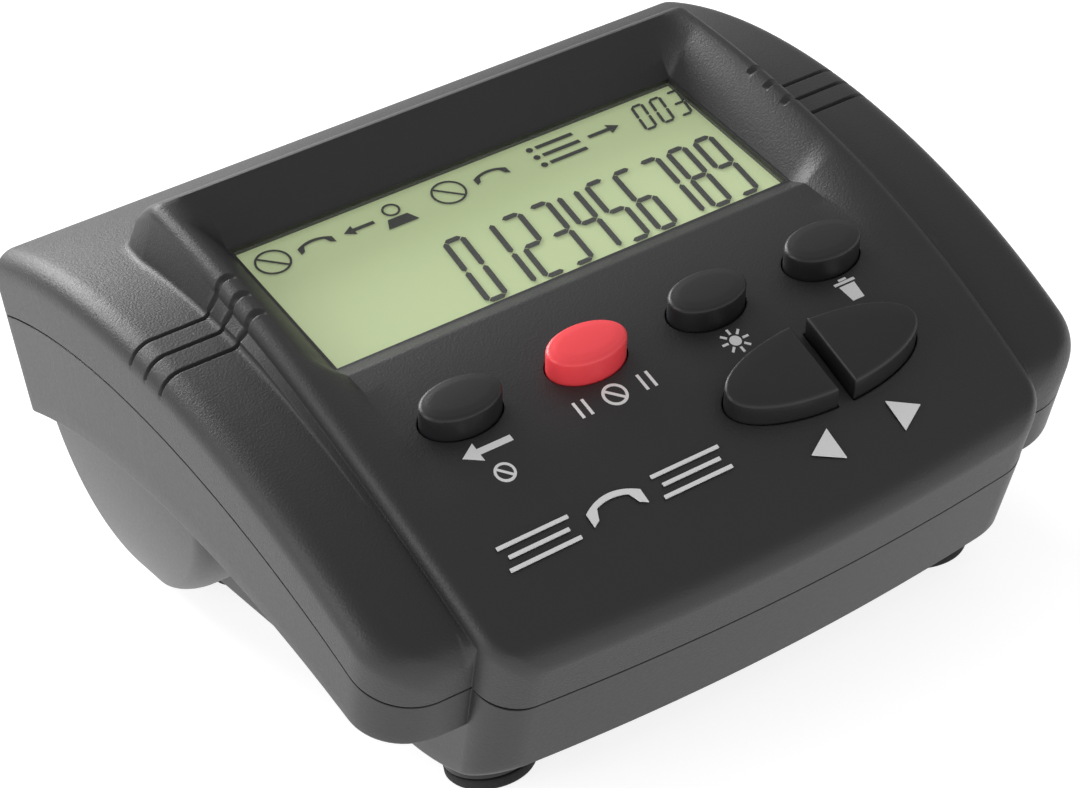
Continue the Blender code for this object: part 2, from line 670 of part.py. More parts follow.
outer = rectangle((0.0, 0.0), LENS_HALF_X + GAP + BEZEL_WALL, LENS_HALF_U + GAP + BEZEL_WALL)
inner = rectangle((0.0, 0.0), LENS_HALF_X + GAP, LENS_HALF_U + GAP)
bezel_builder = bmesh.new()
add_prism(bezel_builder, outer, BOARD_TOP + GAP, GLASS_TOP)
lcd_bezel = add_object("lcd_bezel", bezel_builder, WHITE, deck_frame)
room_builder = bmesh.new()
add_prism(room_builder, inner, BOARD_TOP - 0.001, GLASS_TOP + 0.001)
boolean(lcd_bezel, "DIFFERENCE", add_object("bezel_room", room_builder, parent=deck_frame))


# Keys, each one a cap, the rim that keeps it in and the stem that works its dome

STEM_BOTTOM = DOME_TOP + GAP
OVAL_STEM_INSET = 0.0022
SPLIT_STEM_INSET = 0.0034


def raised(outline, slope, about):
    """An outline whose height follows the slope of the deck."""
    return [(x, u, slope * (u - about)) for x, u in outline]


def add_key(name, outline_at, rim_top, top, slope, about, stem_inset, material):
    """outline_at gives the cap's outline with an inset. The crown of the cap is rounded in three steps."""
    stem = outline_at(stem_inset)
    rim = outline_at(-KEY_RIM)
    levels = [(stem, STEM_BOTTOM), (stem, rim_top - KEY_RIM_THICK), (rim, rim_top - KEY_RIM_THICK), (rim, rim_top)]
    levels.append((outline_at(0.0), rim_top))
    for inset, fall in ((0.0, 0.0014), (0.0003, 0.0007), (0.0009, 0.0002), (0.0018, 0.0)):
        levels.append((raised(outline_at(inset), slope, about), top - fall))
    builder = bmesh.new()
    add_stack(builder, levels)
    bmesh.ops.triangulate(builder, faces=[face for face in builder.faces if len(face.verts) > 4])
    return add_object(name, builder, material, deck_frame)


OVAL_NAMES = ("key_1", "key_2", "key_3", "key_4")
for name, x in zip(OVAL_NAMES, KEY_XS):
    def oval(inset, centre=(x, KEY_ROW_U)):
        return ellipse(centre, KEY_HALF_X - inset, KEY_HALF_U - inset)
    colour = RED_KEY if name == "key_2" else BLACK_KEY
    add_key(name, oval, RIM_TOP, KEY_TOP, 0.0, 0.0, OVAL_STEM_INSET, colour)

for name, side in (("key_left", -1), ("key_right", 1)):
    def half(inset, side=side):
        return half_ellipse(side, inset)
    add_key(name, half, SPLIT_RIM_TOP, SPLIT_TOP, SPLIT_SLOPE, SPLIT_CENTRE[1], SPLIT_STEM_INSET, BLACK_KEY)


# Rubber mat with a dome under each key

mat_middle = (MAT_SPAN[0] + MAT_SPAN[1]) / 2.0
mat_outline = rectangle((0.0, mat_middle), MAT_HALF_X, (MAT_SPAN[1] - MAT_SPAN[0]) / 2.0)
keypad_mat = plate("keypad_mat", mat_outline, BOARD_TOP + GAP, MAT_TOP, GREY_RUBBER, deck_frame)
dome_builder = bmesh.new()
split_dome_x = (SPLIT_GAP / 2.0 + SPLIT_HALF_X) / 2.0
dome_places = [(x, KEY_ROW_U) for x in KEY_XS]
dome_places += [(SPLIT_CENTRE[0] + side * split_dome_x, SPLIT_CENTRE[1]) for side in (-1, 1)]
for place in dome_places:
    foot = ellipse(place, 0.0032, 0.0026, 16)
    crown = ellipse(place, 0.0022, 0.0017, 16)
    add_stack(dome_builder, ((foot, MAT_TOP - MAT_THICK / 2.0), (foot, MAT_TOP + 0.0002), (crown, DOME_TOP)))
boolean(keypad_mat, "UNION", add_object("mat_domes", dome_builder, parent=deck_frame))


# Key board, hung from the deck by four screws

board_middle = sum(KEY_BOARD_SPAN) / 2.0
board_outline = rectangle((0.0, board_middle), KEY_BOARD_HALF_X, (KEY_BOARD_SPAN[1] - KEY_BOARD_SPAN[0]) / 2.0)
key_board = plate("key_board", board_outline, BOARD_TOP - BOARD_THICK, BOARD_TOP, BOARD, deck_frame)
hole_builder = bmesh.new()
for x, u in BOARD_POSTS:
    hole = BOARD_SCREW_RADIUS + SCREW_CLEARANCE
    add_prism(hole_builder, ellipse((x, u), hole, hole, 10), BOARD_TOP - 0.003, BOARD_TOP + 0.001)
for side in (-1, 1):
    add_prism(hole_builder, ellipse((side * 0.0372, -0.0403), 0.0056, 0.0047, 16), BOARD_TOP - 0.003, BOARD_TOP + 0.001)
boolean(key_board, "DIFFERENCE", add_object("key_board_holes", hole_builder, parent=deck_frame))


def add_screw(name, place, head_low, head_high, tip, radii, parent=None):
    """A pan-head screw on an upright axis. Its tip is above or below the head."""
    shank = ellipse(place, radii[0], radii[0], 12)
    head = ellipse(place, radii[1], radii[1], 12)
    if tip > head_high:
        levels = ((head, head_low), (head, head_high), (shank, head_high), (shank, tip))
    else:
        levels = ((shank, tip), (shank, head_low), (head, head_low), (head, head_high))
    builder = bmesh.new()
    add_stack(builder, levels)
    return add_object(name, builder, STEEL, parent)


BOARD_SCREW_RADII = (BOARD_SCREW_RADIUS, 0.0016)
under_board = BOARD_TOP - BOARD_THICK - GAP
for number, place in enumerate(BOARD_POSTS, 1):
    name = f"key_board_screw_{number}"
    add_screw(name, place, under_board - 0.0010, under_board, BOARD_TOP + 0.0038, BOARD_SCREW_RADII, deck_frame)


# Ribbon cable between the two boards, drawn as a side profile

RIBBON_PATH = ((0.0140, 0.0424), (0.0110, 0.0390), (0.0090, 0.0330), (0.0085, 0.0270), (0.0065, 0.0220))
RIBBON_PATH += ((0.0040, 0.0170), (0.0030, 0.0108))
RIBBON_HALF_X = 0.0100
RIBBON_HALF_THICK = 0.0003
ribbon_front = [(y - RIBBON_HALF_THICK, z) for y, z in RIBBON_PATH]
ribbon_back = [(y + RIBBON_HALF_THICK, z) for y, z in RIBBON_PATH]
ribbon_builder = bmesh.new()
ribbon_outline = ribbon_front + ribbon_back[::-1]
ends = [[ribbon_builder.verts.new((x, y, z)) for y, z in ribbon_outline] for x in (-RIBBON_HALF_X, RIBBON_HALF_X)]
ribbon_builder.faces.new(ends[0])
ribbon_builder.faces.new(ends[1][::-1])
for i in range(len(ribbon_outline)):
    j = (i + 1) % len(ribbon_outline)
    ribbon_builder.faces.new((ends[0][i], ends[1][i], ends[1][j], ends[0][j]))
bmesh.ops.recalc_face_normals(ribbon_builder, faces=ribbon_builder.faces)
add_object("ribbon_cable", ribbon_builder, WHITE)


# Main board, its screws and the parts that stand on it

BOARD_SURFACE = BOARD_LEVEL + BOARD_THICK
PART_BASE = BOARD_SURFACE + GAP
main_back = BACK_FACE - WALL - 2.0 * GAP
main_middle = (MAIN_BOARD_FRONT + main_back) / 2.0
main_outline = rectangle((0.0, main_middle), MAIN_BOARD_HALF_X, (main_back - MAIN_BOARD_FRONT) / 2.0)
main_board = plate("main_board", main_outline, BOARD_LEVEL, BOARD_SURFACE, BOARD)
hole_builder = bmesh.new()
for x, y in BOARD_PLACES:
    hole = BOARD_SCREW_RADIUS + SCREW_CLEARANCE
    add_prism(hole_builder, ellipse((x, y), hole, hole, 10), BOARD_LEVEL - 0.001, BOARD_SURFACE + 0.001)
boolean(main_board, "DIFFERENCE", add_object("main_board_holes", hole_builder))
for number, place in enumerate(BOARD_PLACES, 1):
    name = f"main_board_screw_{number}"
    add_screw(name, place, PART_BASE, PART_BASE + 0.0010, FLOOR_HEIGHT + 0.0008, BOARD_SCREW_RADII)

for name, x in JACK_PLACES.items():
    width, length, height = JACK_SIZE
    back = BACK_FACE - WALL - GAP
    body = rectangle((x, back - length / 2.0), width / 2.0, length / 2.0)
    jack = plate(name, body, PART_BASE, PART_BASE + height, CHIP)
    mouth_builder = bmesh.new()
    middle = PART_BASE + height / 2.0
    mouth = rectangle((x, back - JACK_DEPTH / 2.0 + 0.0005), JACK_MOUTH[0] / 2.0, JACK_DEPTH / 2.0 + 0.0005)
    add_prism(mouth_builder, mouth, middle - JACK_MOUTH[1] / 2.0, middle + JACK_MOUTH[1] / 2.0)
    boolean(jack, "DIFFERENCE", add_object(name + "_mouth", mouth_builder))

plate("line_transformer", rectangle((-0.0210, 0.0140), 0.0085, 0.0070), PART_BASE, PART_BASE + 0.0130, COIL)
plate("hook_relay", rectangle((0.0235, 0.0120), 0.0045, 0.0080), PART_BASE, PART_BASE + 0.0100, CHIP)
plate("processor_chip", rectangle((0.0, -0.0060), 0.0060, 0.0060), PART_BASE, PART_BASE + 0.0016, CHIP)
plate("caller_id_chip", rectangle((-0.0180, -0.0060), 0.0050, 0.0038), PART_BASE, PART_BASE + 0.0016, CHIP)
plate("crystal_can", ellipse((0.0130, -0.0060), 0.0050, 0.0022, 20), PART_BASE, PART_BASE + 0.0036, STEEL)
for number, (x, y) in enumerate(((0.0240, -0.0070), (0.0090, 0.0150), (-0.0050, 0.0150)), 1):
    plate(f"capacitor_{number}", ellipse((x, y), 0.0031, 0.0031, 20), PART_BASE, PART_BASE + 0.0090, BLUE)
plate("surge_varistor", ellipse((0.0020, 0.0270), 0.0042, 0.0014, 20), PART_BASE, PART_BASE + 0.0080, BLUE)


# Case screws and feet

for number, place in enumerate(CASE_SCREW_PLACES, 1):
    name = f"case_screw_{number}"
    seam = seam_height(place[1])
    head_high = seam - HEAD_BELOW_SEAM - GAP
    add_screw(name, place, head_high - HEAD_THICK, head_high, seam + SCREW_REACH, (SCREW_RADIUS, HEAD_RADIUS))
for end, y in FOOT_YS.items():
    for side, word in ((-1, "left"), (1, "right")):
        foot = ellipse((side * FOOT_X, y), FOOT_RADIUS, FOOT_RADIUS, 28)
        plate(f"foot_{end}_{word}", foot, 0.0, FOOT_THICK, RUBBER)
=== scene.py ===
# %% [markdown]
# # Desk call screener
#
# A small telephone accessory for a desk. It has a sloped charcoal housing with a hooded display,
# four oval keys, a round pad split into a left and a right key, two side legs and four rubber feet.
# The solid parts already exist as a frame with the real sizes. This notebook dresses that frame:
# it swaps the plain shells, keys and glass for smooth detailed ones, and adds prints, light and a camera.

# %% Start from the frame
import math

import bmesh
import bpy
from mathutils import Matrix, Vector


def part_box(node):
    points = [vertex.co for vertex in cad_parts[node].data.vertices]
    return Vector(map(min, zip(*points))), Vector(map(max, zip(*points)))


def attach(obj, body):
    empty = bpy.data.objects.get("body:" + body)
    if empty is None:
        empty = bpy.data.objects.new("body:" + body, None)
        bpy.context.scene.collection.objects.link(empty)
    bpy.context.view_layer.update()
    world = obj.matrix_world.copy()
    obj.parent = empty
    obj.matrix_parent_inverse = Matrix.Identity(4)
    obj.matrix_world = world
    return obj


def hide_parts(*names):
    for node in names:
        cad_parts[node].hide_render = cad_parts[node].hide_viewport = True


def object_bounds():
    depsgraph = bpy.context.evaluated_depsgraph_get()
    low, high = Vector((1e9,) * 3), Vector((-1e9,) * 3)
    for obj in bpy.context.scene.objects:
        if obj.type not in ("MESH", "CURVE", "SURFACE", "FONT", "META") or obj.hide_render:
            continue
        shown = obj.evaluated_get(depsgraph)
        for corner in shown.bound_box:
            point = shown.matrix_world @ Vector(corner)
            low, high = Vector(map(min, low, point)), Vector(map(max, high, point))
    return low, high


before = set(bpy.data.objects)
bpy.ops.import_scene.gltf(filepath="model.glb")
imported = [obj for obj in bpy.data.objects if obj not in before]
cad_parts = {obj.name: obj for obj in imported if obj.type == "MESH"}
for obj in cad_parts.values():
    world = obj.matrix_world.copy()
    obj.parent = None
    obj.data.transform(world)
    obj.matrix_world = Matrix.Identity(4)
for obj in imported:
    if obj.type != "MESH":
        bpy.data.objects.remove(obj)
cad_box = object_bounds()

# %% [markdown]
# ## Driving sizes
#
# Everything on the sloped deck is drawn in the deck's own frame. It is centred on the display and
# tilted with it: x to the right, u up the slope and n out of it. These are the sizes of the real
# housing, in metres, and the same ones the solid parts were made with.

# %% Sizes
TILT = math.radians(18.0)
DECK = Matrix.Translation((0.0, 0.00573, 0.0536)) @ Matrix.Rotation(TILT, 4, "X")
BASE_DROP = 0.0517
BACK_WALL = 0.0465

# An arch is (highest n, the u where it is, radius).
CREST_ARCH = (0.0064, 0.0050, 0.1667)
DECK_ARCH = (0.0018, -0.0240, 0.0820)
WING_ARCH = (0.0021, -0.0096, 0.1200)
SEAM_ARCH = (-0.0076, -0.0113, 0.1383)
BAND_ARCH = (-0.0202, -0.0250, 0.1800)

BODY_HALF = 0.0430
BODY_TAPER = 0.0014
BODY_TAPER_FROM = -0.0180
WING_HALF = 0.0560
WING_FLARE = 0.0380
FRONT_END = -0.0633
WING_FRONT = -0.0580
FRONT_RAKE = -0.185
FRONT_BOW = 0.0026
BOW_FROM = -0.0400
SHOULDER = 0.0030
BODY_CORNER = 0.0055
WING_EDGE = 0.0035
WING_CORNER = 0.0080
BACK_CORNER = 0.0045
BACK_EDGE = 0.0045
HOOD_BACK = 0.0193
HOOD_FOOT = 0.0295
HOOD_CORNER = 0.0045
RIDGE_FOOT = 0.0010
RIDGE_DRAFT = 0.25
FLAT_HALF_X = 0.0354
FLAT_HALF_U = 0.0142
WINDOW_BEVEL = 0.0029
CREST_TOP_X = 0.0412
CREST_FALL = 0.0021
TUB_HALF = 0.0418
BASE_LIFT_FROM = -0.0250
BASE_LIFT_RADIUS = 0.0420
WALL = 0.0022
SEAM_GAP = 0.0003

BACK_END = BACK_WALL / math.cos(TILT)
BACK_RAKE = math.tan(TILT)

GROOVE_US = (0.0017, -0.0020, -0.0058)
GROOVE_HALF = 0.00032
GROOVE_DEPTH = 0.0006
GROOVE_WIDER = 1.6

KEY_PITCH = 0.01835
KEY_ROW_U = -0.0307
KEY_HALF_X = 0.0056
KEY_HALF_U = 0.0036
KEY_TOP = 0.0050
SPLIT_CENTRE = (0.0163, -0.0456)
SPLIT_HALF_X = 0.0147
SPLIT_HALF_U = 0.0052
SPLIT_GAP = 0.0026
SPLIT_TOP = 0.0020
SPLIT_SLOPE = 0.263
WINDOW_HALF_X = 0.0350
WINDOW_HALF_U = 0.0138

# %% [markdown]
# ## Materials
#
# The housing is charcoal plastic with a fine spark-eroded grain on top and a smoother satin on its sides.
# A grain is a small noise bump, so it shows as sparkle in the light and not as a pattern of colour.


# %% Material helpers
def principled(name, colour, roughness, metallic=0.0, **extra):
    """A material with its values set straight on the shader. Returns it with its nodes and links."""
    material = bpy.data.materials.new(name)
    material.use_nodes = True
    nodes = material.node_tree.nodes
    shader = nodes["Principled BSDF"]
    shader.inputs["Base Color"].default_value = (*colour, 1.0)
    shader.inputs["Roughness"].default_value = roughness
    shader.inputs["Metallic"].default_value = metallic
    for socket, value in extra.items():
        shader.inputs[socket.replace("_", " ")].default_value = value
    return material, nodes, material.node_tree.links, shader


def grained(name, colour, roughness, grain, strength, speck=0.0, metallic=0.0, edge=0.00025):
    """Moulded plastic or rubber: a noise bump of the given grain size, softened edges and slight mottling."""
    material, nodes, links, shader = principled(name, colour, roughness, metallic)
    place = nodes.new("ShaderNodeTexCoord")
    fine = nodes.new("ShaderNodeTexNoise")
    fine.inputs["Scale"].default_value = 1.0 / grain
    fine.inputs["Detail"].default_value = 3.0
    links.new(place.outputs["Object"], fine.inputs["Vector"])
    soft_edge = nodes.new("ShaderNodeBevel")
    soft_edge.samples = 4
    soft_edge.inputs["Radius"].default_value = edge
    bump = nodes.new("ShaderNodeBump")
    bump.inputs["Strength"].default_value = strength
    bump.inputs["Distance"].default_value = grain * 0.25
    links.new(fine.outputs["Fac"], bump.inputs["Height"])
    links.new(soft_edge.outputs["Normal"], bump.inputs["Normal"])
    links.new(bump.outputs["Normal"], shader.inputs["Normal"])
    if speck:
        spread = nodes.new("ShaderNodeMapRange")
        spread.inputs["To Min"].default_value = roughness - speck
        spread.inputs["To Max"].default_value = roughness + speck
        links.new(fine.outputs["Fac"], spread.inputs["Value"])
        links.new(spread.outputs["Result"], shader.inputs["Roughness"])
    return material


# %% Materials of the set
CHARCOAL = grained("charcoal top grain", (0.0225, 0.0220, 0.0238), 0.46, 0.00030, 0.75, speck=0.10)
SATIN = grained("charcoal satin", (0.0120, 0.0117, 0.0124), 0.42, 0.00045, 0.22, speck=0.06)
KEY_BLACK = grained("black key", (0.0130, 0.0130, 0.0145), 0.42, 0.00030, 0.25, speck=0.06, edge=0.0002)
KEY_RED = grained("red key", (1.0, 0.070, 0.085), 0.36, 0.00060, 0.10, edge=0.0002)
PRINT = grained("white print", (0.86, 0.86, 0.86), 0.55, 0.00020, 0.10, edge=0.00002)
RUBBER = grained("foot rubber", (0.012, 0.012, 0.012), 0.80, 0.00050, 0.60, speck=0.08)
GREY_RUBBER = grained("keypad rubber", (0.22, 0.23, 0.25), 0.70, 0.00040, 0.20)
BOARD = grained("board green", (0.010, 0.090, 0.035), 0.38, 0.00060, 0.20)
STEEL = grained("screw steel", (0.56, 0.56, 0.55), 0.34, 0.00040, 0.15, metallic=1.0)
CHIP = grained("chip black", (0.018, 0.018, 0.019), 0.50, 0.00030, 0.30)
COIL = grained("coil tape", (0.62, 0.46, 0.08), 0.45, 0.00080, 0.20)
BLUE = grained("part blue", (0.03, 0.09, 0.42), 0.35, 0.00060, 0.10)
WHITE = grained("white plastic", (0.72, 0.72, 0.70), 0.50, 0.00050, 0.10)
SEGMENT = grained("display segment", (0.006, 0.008, 0.006), 0.55, 0.00040, 0.05, edge=0.00001)
LENS, _, _, lens_shader = principled("display lens", (0.93, 0.97, 0.90), 0.04)
lens_shader.inputs["Transmission Weight"].default_value = 1.0
lens_shader.inputs["IOR"].default_value = 1.12

# %% [markdown]
# ## The housing's surfaces
#
# The housing is a loft. At each u along the deck a section is drawn across it, from the middle out to
# the side seam. The front and back walls lean, so the plain stack of sections is bent into place afterwards.


# %% Surface formulas
def arch(u, shape):
    highest, at, radius = shape
    return highest - (u - at) ** 2 / (2.0 * radius)


def round_off(distance, radius):
    """How far a rounded end of this radius has drawn in, this far from its end."""
    if distance >= radius:
        return 0.0
    left = radius - max(distance, 0.0)
    return radius - math.sqrt(radius * radius - left * left)


def body_half(u):
    front = max(0.0, BODY_TAPER_FROM - u) / (BODY_TAPER_FROM - FRONT_END)
    return BODY_HALF - BODY_TAPER * front * front


def wing_edge(u, inset):
    """Half the width over the wings, with their rounded corners."""
    half = WING_HALF + WING_FLARE * u - inset
    front = round_off(u - WING_FRONT - inset, WING_CORNER)
    return half - front - round_off(BACK_END - inset - u, BACK_CORNER)


def rake(u):
    share = (u - FRONT_END) / (BACK_END - FRONT_END)
    return FRONT_RAKE + (BACK_RAKE - FRONT_RAKE) * share


def base_level(u):
    """The n of the tub's underside, which is flat and lifts towards the front."""
    lift = 0.0
    level = 0.0
    for _ in range(3):
        level = -(BASE_DROP - lift + u * math.sin(TILT)) / (math.cos(TILT) + rake(u) * math.sin(TILT))
        y = (u + rake(u) * level) * math.cos(TILT) - level * math.sin(TILT)
        lift = max(0.0, BASE_LIFT_FROM - y) ** 2 / (2.0 * BASE_LIFT_RADIUS)
    return level


def housed(x, u, n):
    """Leans the end walls and bows the front."""
    ramp = min(1.0, max(0.0, (BOW_FROM - u) / (BOW_FROM - FRONT_END)))
    across = max(0.0, 1.0 - (x / BODY_HALF) ** 2)
    return x, u + rake(u) * n - FRONT_BOW * across * ramp * ramp * (3.0 - 2.0 * ramp), n


def dip(u):
    """How far the middle of the deck lies below its two crests."""
    crest = arch(u, CREST_ARCH)
    if u > FLAT_HALF_U:
        return crest * max(0.0, HOOD_BACK - u) / (HOOD_BACK - FLAT_HALF_U)
    if u >= -FLAT_HALF_U:
        return crest
    lip = -FLAT_HALF_U - WINDOW_BEVEL
    if u >= lip:
        return crest - arch(lip, DECK_ARCH) * (-FLAT_HALF_U - u) / WINDOW_BEVEL
    return max(0.0, crest - arch(u, DECK_ARCH))


def spaced(low, high, count):
    return [low + (high - low) * i / count for i in range(count + 1)]


def quarter(count):
    return [math.radians(90.0) * i / count for i in range(count + 1)]


def groove_depth(u, x):
    """The finger grooves are narrow on the wing and wider over the ridge."""
    half = GROOVE_HALF * (GROOVE_WIDER if x < BODY_HALF + RIDGE_FOOT else 1.0)
    for centre in GROOVE_US:
        share = abs(u - centre) / half
        if share < 1.0:
            return GROOVE_DEPTH * math.sqrt(1.0 - share * share)
    return 0.0


BEVEL_SHARES = [i / 10.0 for i in range(1, 11)]
CREST_ANGLES = quarter(8)[1:]


def upper_section(u, inset, with_wing):
    """Half a section of the top shell, as (x, n) from the middle out and down to the seam."""
    end_drop = round_off(u - FRONT_END - inset, SHOULDER)
    corner = round_off(u - FRONT_END - inset, BODY_CORNER)
    back = BACK_END - inset - u
    wing_n = arch(u, WING_ARCH) - inset - round_off(back, BACK_EDGE - inset)
    crest_n = arch(u, CREST_ARCH) - inset
    hood = 1.0
    if u > HOOD_BACK:
        hood = 1.0 - min(1.0, (u - HOOD_BACK) / (HOOD_FOOT - HOOD_BACK)) ** 1.3
        crest_n = wing_n + (crest_n - wing_n) * hood
    crest_n -= end_drop
    corner += round_off(HOOD_FOOT - u, HOOD_CORNER)
    scale = (body_half(u) - corner) / BODY_HALF
    depth = dip(u)
    plan = [(x, depth) for x in spaced(0.0, FLAT_HALF_X, 10)]
    for t in BEVEL_SHARES:
        plan.append((FLAT_HALF_X + (CREST_TOP_X - FLAT_HALF_X) * t, depth * (1.0 - t) ** 1.5))
    for a in CREST_ANGLES:
        x = CREST_TOP_X + (BODY_HALF - CREST_TOP_X) * math.sin(a)
        plan.append((x, CREST_FALL * (1.0 - math.cos(a)) * hood))
    points = [(x * scale - inset * (x / BODY_HALF) ** 16, crest_n - fall) for x, fall in plan]
    wall_x, wall_n = points[-1]
    seam_n = arch(u, SEAM_ARCH) + SEAM_GAP / 2.0
    half = wing_edge(u, inset)
    top = wing_n - round_off(u - WING_FRONT - inset, WING_EDGE)
    edge = min(WING_EDGE, 0.8 * (top - seam_n))
    foot = wall_x + RIDGE_FOOT + RIDGE_DRAFT * max(0.0, crest_n - wing_n - CREST_FALL)
    hollow = min(0.0009, 0.6 * max(0.0, wall_n - top))
    wing = []
    for a in quarter(5):
        wing.append((foot + hollow * (0.7 - math.cos(a)), top + hollow * (1.0 - math.sin(a))))
    for x in spaced(foot + 0.7 * hollow, half - edge, 10)[1:]:
        wing.append((x, top))
    for a in quarter(12)[1:]:
        wing.append((half - edge + edge * math.sin(a), top - edge * (1.0 - math.cos(a))))
    wing += [(half, n) for n in spaced(top - edge, seam_n, 3)[1:]]
    if not with_wing:
        wing = [(wall_x, min(n, wall_n)) for _, n in wing]
    return points + wing


def lower_section(u, inset, with_wing):
    """Half a section of the bottom shell, as (x, n) from the middle of its floor out and up to the seam."""
    floor = base_level(u) + inset
    corner = round_off(u - FRONT_END - inset, BODY_CORNER)
    side = TUB_HALF - inset - corner
    roll = 0.0010
    seam_n = arch(u, SEAM_ARCH) - SEAM_GAP / 2.0
    points = [(x, floor) for x in spaced(0.0, side - roll, 10)]
    for a in quarter(4)[1:]:
        points.append((side - roll + roll * math.sin(a), floor + roll * (1.0 - math.cos(a))))
    half = wing_edge(u, inset)
    under = arch(u, BAND_ARCH) + inset
    lip = 0.0005
    wing = [(side, n) for n in spaced(floor + roll, under, 6)[1:]]
    wing += [(x, under) for x in spaced(side, half - lip, 6)[1:]]
    for a in quarter(4)[1:]:
        wing.append((half - lip + lip * math.sin(a), under + lip * (1.0 - math.cos(a))))
    wing += [(half, n) for n in spaced(under + lip, seam_n, 5)[1:]]
    if not with_wing:
        wing = [(side, n) for _, n in wing]
    return points + wing


# %% [markdown]
# The stations crowd together where an end is rounded and where the finger grooves cross, and are about
# a millimetre apart elsewhere.


# %% Stations and shells
def easing(start, radius, count):
    """Stations that follow the turn of a rounded end."""
    return [start + radius * (1.0 - math.cos(a)) for a in quarter(count)]


FRONT_STATIONS = [u for u in easing(FRONT_END, BODY_CORNER, 14) if u < WING_FRONT - 0.0001]
MIDDLE_STATIONS = easing(WING_FRONT, WING_CORNER, 16) + spaced(-0.0490, -0.0175, 28)
MIDDLE_STATIONS += spaced(-FLAT_HALF_U - WINDOW_BEVEL, -FLAT_HALF_U, 5) + spaced(-0.0130, -0.0070, 6)
MIDDLE_STATIONS += spaced(-0.0066, 0.0025, 70) + spaced(0.0035, 0.0135, 8)
MIDDLE_STATIONS += spaced(FLAT_HALF_U, HOOD_BACK, 8) + spaced(HOOD_BACK, HOOD_FOOT - HOOD_CORNER, 12)[1:]
MIDDLE_STATIONS += [2.0 * HOOD_FOOT - u for u in easing(HOOD_FOOT, HOOD_CORNER, 10)][-2::-1]
MIDDLE_STATIONS += spaced(HOOD_FOOT, BACK_END - BACK_CORNER, 12)[1:-1]
BACK_STATIONS = [2.0 * BACK_END - u for u in easing(BACK_END, BACK_CORNER, 14)][::-1]


def stations():
    rows = [(u, False) for u in FRONT_STATIONS + [WING_FRONT]]
    return rows + [(u, True) for u in MIDDLE_STATIONS + BACK_STATIONS]


def grooved(u, points):
    """Presses the finger grooves into a section, square to its surface, from the crest to past the edge."""
    moved = []
    for i, (x, n) in enumerate(points):
        before = points[max(i - 1, 0)]
        after = points[min(i + 1, len(points) - 1)]
        length = math.hypot(after[0] - before[0], after[1] - before[1])
        depth = groove_depth(u, x)
        fade = min(1.0, max(0.0, (x - 0.0402) / 0.0006))
        low = arch(u, WING_ARCH) - WING_EDGE + 0.0008
        if x > 0.050:
            fade *= min(1.0, max(0.0, (n - low) / 0.0006))
        if depth and length > 0.0:
            slope = ((before[1] - after[1]) / length, (after[0] - before[0]) / length)
            x -= slope[0] * depth * fade
            n -= slope[1] * depth * fade
        moved.append((x, n))
    return moved


def end_wall(u, points):
    """Rows that close an end of a skin, from the section's own level to the seam."""
    seam_n = points[0][1]
    levels = sorted({round(n, 5) for _, n in points}, key=lambda n: abs(n - seam_n), reverse=True)
    above = levels[0] > seam_n
    rows = []
    for level in levels[1:-1] + [seam_n]:
        rows.append((u, [(x, min(n, level) if above else max(n, level)) for x, n in points]))
    return rows


def skin_rows(section, inset):
    rows = []
    for u, with_wing in stations():
        here = min(max(u, FRONT_END + inset), BACK_END - inset)
        if with_wing or u >= WING_FRONT:
            here = max(here, WING_FRONT + inset)
        half = [(round(x, 5), round(n, 5)) for x, n in section(here, inset, with_wing)]
        if section is upper_section and inset == 0.0:
            half = grooved(here, half)
        rows.append((here, [(-x, n) for x, n in half[:0:-1]] + half))
    parts = (end_wall(*rows[0])[::-1], rows, end_wall(*rows[-1]))
    return [[[housed(x, u, n) for x, n in points] for u, points in part] for part in parts]


def shell_mesh(section):
    """A closed shell: an outer skin, an inner skin and the rim between them along the seam."""
    builder = bmesh.new()
    rims = []
    for inset in (0.0, WALL):
        front, middle, back = [
            [[builder.verts.new(point) for point in row] for row in part]
            for part in skin_rows(section, inset)
        ]
        skin = front + middle + back
        for row, following in zip(skin, skin[1:]):
            for i in range(len(row) - 1):
                builder.faces.new((row[i], row[i + 1], following[i + 1], following[i]))
        right = [row[-1] for row in middle[1:-1]]
        left = [row[0] for row in middle[-2:0:-1]]
        rims.append(skin[0] + right + skin[-1][::-1] + left)
    for i in range(len(rims[0])):
        j = (i + 1) % len(rims[0])
        builder.faces.new((rims[0][i], rims[1][i], rims[1][j], rims[0][j]))
    bmesh.ops.remove_doubles(builder, verts=builder.verts, dist=0.000002)
    bmesh.ops.recalc_face_normals(builder, faces=builder.faces)
    return builder


# %% Piece helpers
def add_piece(name, builder, material, body=None, replaces=(), on_deck=False, sharp=32.0):
    """Links a mesh as an object at the origin. A piece with a body rides on it."""
    mesh = bpy.data.meshes.new(name)
    builder.normal_update()
    builder.to_mesh(mesh)
    builder.free()
    if on_deck:
        mesh.transform(DECK)
    if material:
        mesh.materials.append(material)
    mesh.shade_smooth()
    mesh.set_sharp_from_angle(angle=math.radians(sharp))
    made = bpy.data.objects.new(name, mesh)
    bpy.context.scene.collection.objects.link(made)
    if body:
        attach(made, body)
        if replaces:
            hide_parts(*replaces)
    return made


def cut(target, operation, *helpers):
    """Applies Booleans for good, then removes the helpers."""
    for helper in helpers:
        modifier = target.modifiers.new(helper.name, "BOOLEAN")
        modifier.operation = operation
        modifier.solver = "EXACT"
        modifier.object = helper
    bpy.context.view_layer.update()
    graph = bpy.context.evaluated_depsgraph_get()
    target.data = bpy.data.meshes.new_from_object(target.evaluated_get(graph))
    target.modifiers.clear()
    for helper in helpers:
        bpy.data.objects.remove(helper, do_unlink=True)


